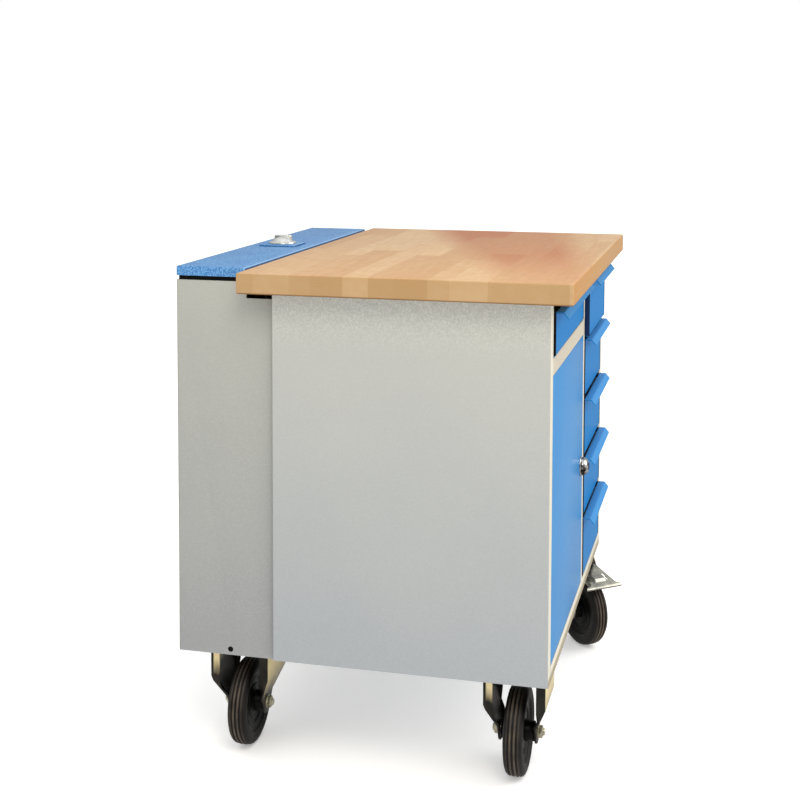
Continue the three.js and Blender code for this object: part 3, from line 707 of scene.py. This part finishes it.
def add_drawers():
    left, right, bottom, top = LEFT_FACE
    askew = shift(right, 0, 0) @ Matrix.Rotation(math.radians(0.32), 4, "Z") @ shift(-right, 0, 0)
    add_drawer("drawer_left", (left, right, bottom, top, -0.9), DARK_RUBBER_AND_SHADE, askew)
    tops = [FIRST_TOP - PITCH * i for i in range(5)]
    bottoms = [top + FACE_GAP for top in tops[1:]] + [LAST_BOTTOM]
    for i, (bottom, top) in enumerate(zip(bottoms, tops)):
        # the first one stands ajar, and its folds are painted navy shade where the others' are painted nearly
        # black shade
        slide, shadow = (-9, NAVY) if i == 0 else (-1.4, DARK_RUBBER_AND_SHADE)
        add_drawer(f"drawer_right_{i + 1}", (*RIGHT_FACE, bottom, top, slide), shadow)


# ---- door and lock ----
def lock_knob():
    dome = lathe([
        (0, 0), (16.8, 0), (17.2, 0.6), (17, 2.6), (15.8, 5.6), (13.4, 8.6), (10.4, 10.8), (7, 12),
        (5.4, 12.2), (5, 11.4), (0, 11.2),
    ], closed=False)
    barrel = lathe([(0, 11), (4.2, 11), (4.4, 11.4), (4.2, 12.4), (0, 12.4)], 40, closed=False)
    spindle = lathe([(0, -12), (4.8, -12), (4.8, 1), (0, 1)], 32, closed=False)
    return joined(dome, barrel, spindle)


# painted shade: a dark ring round the barrel and a dark raised bar stand for the gap round the plug and the
# keyhole
def key_slot():
    ring = lathe([(4.5, 11.6), (6.6, 11.9), (6.6, 12.3), (4.5, 12.5)], 40)
    return joined(ring, rounded_block(-0.9, 0.9, -3.4, 3.4, 12, 12.9, 0.3, 2))


def add_door():
    left, right, bottom, top, depth = DOOR
    leaf = open_pan(left, right, 0, depth, bottom, top, (0, 1, 0), 2)
    # the cam swings out through a slot in the fold
    slot = rounded_block(right - 5, right + 5, 7, 14, LOCK_Z - 12, LOCK_Z + 40, 0.5, 2)
    piece("door_leaf", carved(leaf, slot), "blue_smooth_paint", "door", "door_panel")
    rosette = lathe([(6, 0), (19, 0), (19, 0.8), (17.5, 2.2), (13, 3), (6, 3)])
    piece("door_lock_plate", moved(rosette, TO_FRONT, shift(LOCK_X, -0.3, LOCK_Z)), "chrome", "door",
          "door_lock_rosette", material=CHROME_WITH_PAINTED_REFLECTIONS)
    ahead = shift(LOCK_X, -3.6, LOCK_Z)
    piece("door_lock_grip", moved(lock_knob(), TO_FRONT, ahead), "chrome", "door_lock", "door_lock_knob",
          material=CHROME_WITH_PAINTED_REFLECTIONS)
    # the keyway is painted shade on raised pieces
    piece("door_lock_keyway", moved(key_slot(), TO_FRONT, ahead), "chrome", "door_lock", material=DARK_RUBBER_AND_SHADE)
    refined("door_lock_cam", "zinc_plate", "door_lock", 0.4)
    for node in ("door_pin_lower", "door_pin_upper"):
        refined(node, "zinc_plate", "root", 0.2)


# ---- lid ----
def lid_knob():
    dome = lathe([
        (0, 0), (26.4, 0), (27, 0.8), (26.6, 2.4), (24.6, 3.4), (21, 4.2), (19.6, 6), (17.5, 9), (14, 11.4),
        (8, 13), (0, 13.4),
    ], closed=False)
    wing = moved(rounded_block(-5, 5, -18.5, 16, 3, 16.4, 3.6, 5), Matrix.Rotation(0.2, 4, "Z"))
    shaft = lathe([(0, -21), (6, -21), (6, 1), (0, 1)], 32, closed=False)
    return joined(dome, wing, shaft, rounded_block(-30, 30, -7, 7, -20.3, -17.3, 0.8, 2))


def add_lid():
    middle = ((LID["left"] + LID["right"]) / 2, (LID["front"] + LID["back"]) / 2)
    top = LID["top"]
    cap = open_pan(*LID.values(), (0, 0, -1), 2.6, steps=5)
    piece("lid_sheet", cap, "blue_structure_paint", "tool_lift", "lid_cap")
    plate = rounded_block(-36, 36, -36, 36, 0, 3, 1.3, 3)
    piece("lid_badge_plate", moved(plate, shift(*middle, top + 0.3)), "blue_structure_paint", "tool_lift",
          "lid_lock_plate")
    piece("lid_turn_knob", moved(lid_knob(), shift(*middle, top + 3.6)), "chrome", "lid_lock", "lid_knob",
          material=SATIN_METAL)


# ---- castors ----
def tyre_shape():
    """A tyre about z: ribs between grooves on the tread, and a step where the side meets the rim."""
    half = [
        (72.8, 0), (72.8, 1.4), (74.8, 2.1), (75, 3.2), (74.9, 5), (72.6, 5.8), (72.4, 8), (74.2, 8.9),
        (73.8, 11), (72.9, 12.6), (71, 14.6), (68, 16), (64, 17), (60, 16.6), (59.4, 15.8), (58.6, 15.8),
        (58, 16.3), (54.5, 15.2), (52, 13),
    ]
    tyre = lathe(half + [(r, -h) for r, h in half[:0:-1]], 128)
    # the crests of the ribs are marked, for the material to show them worn
    layer = tyre.verts.layers.float.new("wear")
    for vert in tyre.verts:
        vert[layer] = smooth_step(73.4, 74.8, math.hypot(vert.co.x, vert.co.y))
    return tyre


def rim_shape():
    half = [
        (6.3, 28.4), (12, 28.4), (12.6, 27.8), (16, 27.8), (16.6, 27), (18, 12), (20, 10.5), (26, 9.5),
        (27, 10.4), (29, 10.4), (30, 9), (35, 8), (38, 8.4), (40, 10.6), (43, 11.4), (45, 10.6), (48, 11.2),
        (51.7, 12),
    ]
    return lathe(half + [(r, -h) for r, h in half[::-1]], 96)


def axle_shape(head):
    """A bolt along y with a washer and a nut outside each fork leg, at head millimetres from the middle."""
    tip = head + 11
    bolt = [(0, -tip), (5.2, -tip), (6, 1 - tip), (6, tip - 1), (5.2, tip), (0, tip)]
    nut = [(0, 0), (10.3, 0), (10.4, 0.4), (10.4, 6.2), (9, 7), (0, 7)]
    washer = [(6, 0), (11.5, 0), (11.5, 1.2), (6, 1.2)]
    ends = []
    for turn in (0, math.pi):
        flip = Matrix.Rotation(turn, 4, "X")
        ends.append(moved(lathe(nut, 6, closed=False), shift(0, 0, head + 0.9), flip))
        ends.append(moved(lathe(washer, 40), shift(0, 0, head), flip))
    return moved(joined(lathe(bolt, 40, closed=False), *ends), TO_FRONT)


PEDAL = {"root": (10, 175.6), "step": (2, -0.4815), "steps": 55, "root_half": 26, "spread": 7, "flare": 9}
PEDAL_LIP = [(121.5, 148.2), (124.5, 146.4), (126.6, 144), (126.6, 141.6), (124.6, 140), (122, 140.2)]
PAD = {"middle": 96, "height": 5}
PEDAL_SLOT = {"start": 84, "end": 108, "inner": 18.2, "outer": 22.6}


def pedal_rows(columns):
    """Rows of points across the pedal, from its pivot to the end of its rolled lip."""
    x0, z0 = PEDAL["root"]
    dx, dz = PEDAL["step"]
    spine = [(x0 + dx * i, z0 + dz * i) for i in range(PEDAL["steps"])]
    rows = []
    for i, (x, z) in enumerate(spine + PEDAL_LIP):
        flat = i < PEDAL["steps"]
        flare = max(0, min(1, (x - 113) / 12))
        half = PEDAL["root_half"] + PEDAL["spread"] * min(1, (x - 10) / 108) + PEDAL["flare"] * flare ** 2
        row = []
        for j in range(columns):
            t = 2 * j / (columns - 1) - 1
            y = half * t
            pad = smooth_step(16, 12.5, abs(y)) * smooth_step(17, 12, abs(x - PAD["middle"])) if flat else 0
            rim = smooth_step(0.8, 1, abs(t)) if flat else 0
            row.append((x, y, z + PAD["height"] * pad - 1.6 * rim))
        rows.append(row)
    return rows


def in_pedal_slot(spot):
    along = PEDAL_SLOT["start"] < spot.x < PEDAL_SLOT["end"]
    return along and PEDAL_SLOT["inner"] < abs(spot.y) < PEDAL_SLOT["outer"]


def pedal_shape():
    """A stamped pedal: it widens to a rolled lip with flared ends, with a raised pad between two slots."""
    columns = 33
    shape = bmesh.new()
    grid = [[shape.verts.new(spot) for spot in row] for row in pedal_rows(columns)]
    for row, following in zip(grid, grid[1:]):
        for j in range(columns - 1):
            if not in_pedal_slot((row[j].co + following[j + 1].co) / 2):
                shape.faces.new((row[j], following[j], following[j + 1], row[j + 1]))
    bmesh.ops.recalc_face_normals(shape, faces=shape.faces[:])
    shape.normal_update()
    if shape.faces[0].normal.z < 0:
        bmesh.ops.reverse_faces(shape, faces=shape.faces[:])
    bmesh.ops.solidify(shape, geom=shape.faces[:], thickness=1.8)
    bmesh.ops.recalc_face_normals(shape, faces=shape.faces[:])
    rod = lathe([(0, -27), (3.6, -27), (4, -26.6), (4, 26.6), (3.6, 27), (0, 27)], 32, closed=False)
    return joined(shape, moved(rod, TO_FRONT, shift(14, 0, 172)))


def plate_screws(reach_x, reach_y):
    """Four hexagon heads on washers, under a castor's top plate."""
    screws = []
    for x in (-reach_x, reach_x):
        for y in (-reach_y, reach_y):
            head = lathe([(0, 0), (6, 0), (6.5, 0.5), (6.5, 4), (0, 4)], 6, closed=False)
            washer = lathe([(0, 4), (8, 4), (8, 5.2), (0, 5.2)], 32, closed=False)
            screws.append(moved(joined(head, washer), shift(x, y, 192.4)))
    return joined(*screws)


def add_wheel(kind, row, hub):
    """The tyre and the rim of a castor, both riding on the wheel's body."""
    body = f"{kind}_wheel_{row}"
    name = f"{kind}_{row}"
    piece(f"{name}_tread", moved(tyre_shape(), TO_FRONT, hub), "tyre_rubber", body, f"{name}_tyre", crease=50)
    piece(f"{name}_disc", moved(rim_shape(), TO_FRONT, hub), "rim_plastic", body, f"{name}_rim")


def add_castors():
    turned = Matrix.Rotation(math.radians(SWIVEL_ANGLE), 4, "Z")
    for row, spots in ROWS.items():
        fixed = shift(FIXED_X, spots["fixed_y"], 0)
        plate = shift(*spots["swivel"], 0)
        swivel = plate @ turned
        fixed_hub = fixed @ shift(0, 0, AXLE_Z)
        swivel_hub = swivel @ shift(TRAIL, 0, AXLE_Z)
        add_wheel("fixed", row, fixed_hub)
        add_wheel("swivel", row, swivel_hub)
        piece(f"fixed_bolt_{row}", moved(axle_shape(33.3), fixed_hub), "zinc_plate", "root",
              f"fixed_axle_{row}", material=PALE_ZINC)
        piece(f"swivel_bolt_{row}", moved(axle_shape(32.3), swivel_hub), "zinc_plate", f"swivel_{row}",
              f"swivel_axle_{row}", material=PALE_ZINC)
        refined(f"fixed_fork_{row}", "zinc_plate", "root", 0.8)
        refined(f"swivel_plate_{row}", "zinc_plate", "root", 0.6, material=PLAIN_ZINC)
        refined(f"swivel_fork_{row}", "zinc_plate", f"swivel_{row}", 0.8, material=PLAIN_ZINC)
        piece(f"pedal_plate_{row}", moved(pedal_shape(), swivel), "zinc_plate", f"pedal_{row}",
              f"brake_pedal_{row}", material=PLAIN_ZINC)
        piece(f"fixed_screws_{row}", moved(plate_screws(38, 26), fixed), "zinc_plate", "root",
              material=PALE_ZINC)
        piece(f"swivel_screws_{row}", moved(plate_screws(34, 36), plate), "zinc_plate", "root",
              material=PALE_ZINC)


# ---- stage ----
def add_floor():
    """A pale paper floor. What shines mirrors it darker, as if black card lay out of view."""
    grid = bmesh.new()
    bmesh.ops.create_grid(grid, x_segments=1, y_segments=1, size=60)
    mesh = as_mesh("floor", grid)
    f = Finish("floor_paper", Roughness=0.95, Specular_IOR_Level=0)
    paper = f.blend(f.noise(900, 2), colour(250, 250, 249), colour(254, 254, 254))
    mirrored = f.tree.nodes.new("ShaderNodeLightPath").outputs["Is Glossy Ray"]
    f.feed("Base Color", f.blend(mirrored, paper, colour(140, 136, 132)))
    f.feed("Emission Color", paper)
    f.feed("Emission Strength", 0.28)
    mesh.materials.append(f.material)
    thing = bpy.data.objects.new("floor", mesh)
    scene.collection.objects.link(thing)


def add_sky():
    """White behind the bench; as a light, brighter overhead than at the horizon.

    What shines mirrors a dimmer room, darkest straight out from the bench's left end.
    """
    world = bpy.data.worlds.new("studio")
    scene.world = world
    world.use_nodes = True
    nodes, links = world.node_tree.nodes, world.node_tree.links
    path = nodes.new("ShaderNodeLightPath")
    place = nodes.new("ShaderNodeTexCoord")
    split = nodes.new("ShaderNodeSeparateXYZ")
    links.new(place.outputs["Generated"], split.inputs[0])

    def rising(low, high):
        node = nodes.new("ShaderNodeMapRange")
        links.new(split.outputs["Z"], node.inputs["Value"])
        node.inputs["To Min"].default_value = low
        node.inputs["To Max"].default_value = high
        return node.outputs["Result"]

    def choose(share, first, second):
        node = nodes.new("ShaderNodeMix")
        links.new(share, node.inputs["Factor"])
        for socket, value in ((node.inputs["A"], first), (node.inputs["B"], second)):
            if isinstance(value, bpy.types.NodeSocket):
                links.new(value, socket)
            else:
                socket.default_value = value
        return node.outputs["Result"]

    behind = nodes.new("ShaderNodeMapRange")
    links.new(split.outputs["X"], behind.inputs["Value"])
    behind.inputs["From Min"].default_value = -0.97
    behind.inputs["From Max"].default_value = -0.8
    behind.inputs["To Min"].default_value = 0.1
    mirrored = nodes.new("ShaderNodeMath")
    mirrored.operation = "MULTIPLY"
    links.new(behind.outputs["Result"], mirrored.inputs[0])
    links.new(rising(0.4, 1), mirrored.inputs[1])
    lighting = choose(path.outputs["Is Glossy Ray"], rising(0.76, 1.16), mirrored.outputs[0])
    shown = choose(path.outputs["Is Camera Ray"], lighting, 1.0)
    links.new(shown, nodes["Background"].inputs["Strength"])
    nodes["Background"].inputs["Color"].default_value = (1, 1, 1, 1)


def add_lamp(name, spot, aim, size, power, tint, shine):
    data = bpy.data.lights.new(name, "AREA")
    data.size = size
    data.energy = power
    data.color = tint
    data.specular_factor = shine
    lamp = bpy.data.objects.new(name, data)
    lamp.location = spot
    lamp.rotation_euler = (Vector(aim) - Vector(spot)).to_track_quat("-Z", "Y").to_euler()
    lamp.visible_camera = False
    scene.collection.objects.link(lamp)


def add_light():
    add_lamp("front_softbox", (0.6, -3.2, 2.4), (0, 0, 0.5), 2.4, 50, (1, 0.97, 0.92), 0.5)
    add_lamp("side_softbox", (-1.9, -0.6, 2.5), (-0.4, -0.1, 0.8), 1.2, 23, (1, 0.93, 0.82), 1)
    scene.view_settings.view_transform = "Standard"


def add_camera():
    """Looks along the bench from its left end, a little from the front and from above the top."""
    spot = BENCH @ Vector((-2168, -300.4, 1135.4))
    yaw, pitch, roll = (math.radians(a) for a in (13.811, 3.742, -0.149))
    ahead = Vector((math.cos(yaw) * math.cos(pitch), math.sin(yaw) * math.cos(pitch), -math.sin(pitch)))
    right = Vector((math.sin(yaw), -math.cos(yaw), 0))
    down = ahead.cross(right)
    across = math.cos(roll) * right + math.sin(roll) * down
    below = -math.sin(roll) * right + math.cos(roll) * down
    data = bpy.data.cameras.new("camera")
    data.lens = 62.19
    data.sensor_width = 36
    data.shift_x = -0.0124
    data.shift_y = -0.2586
    camera = bpy.data.objects.new("camera", data)
    turn = Matrix((across, -below, -ahead)).transposed().to_4x4()
    camera.matrix_world = Matrix.Translation(spot) @ turn
    scene.collection.objects.link(camera)
    scene.camera = camera


add_camera()
add_worktop()
add_cabinet()
add_drawers()
add_door()
add_lid()
add_castors()
add_floor()
add_sky()
add_light()
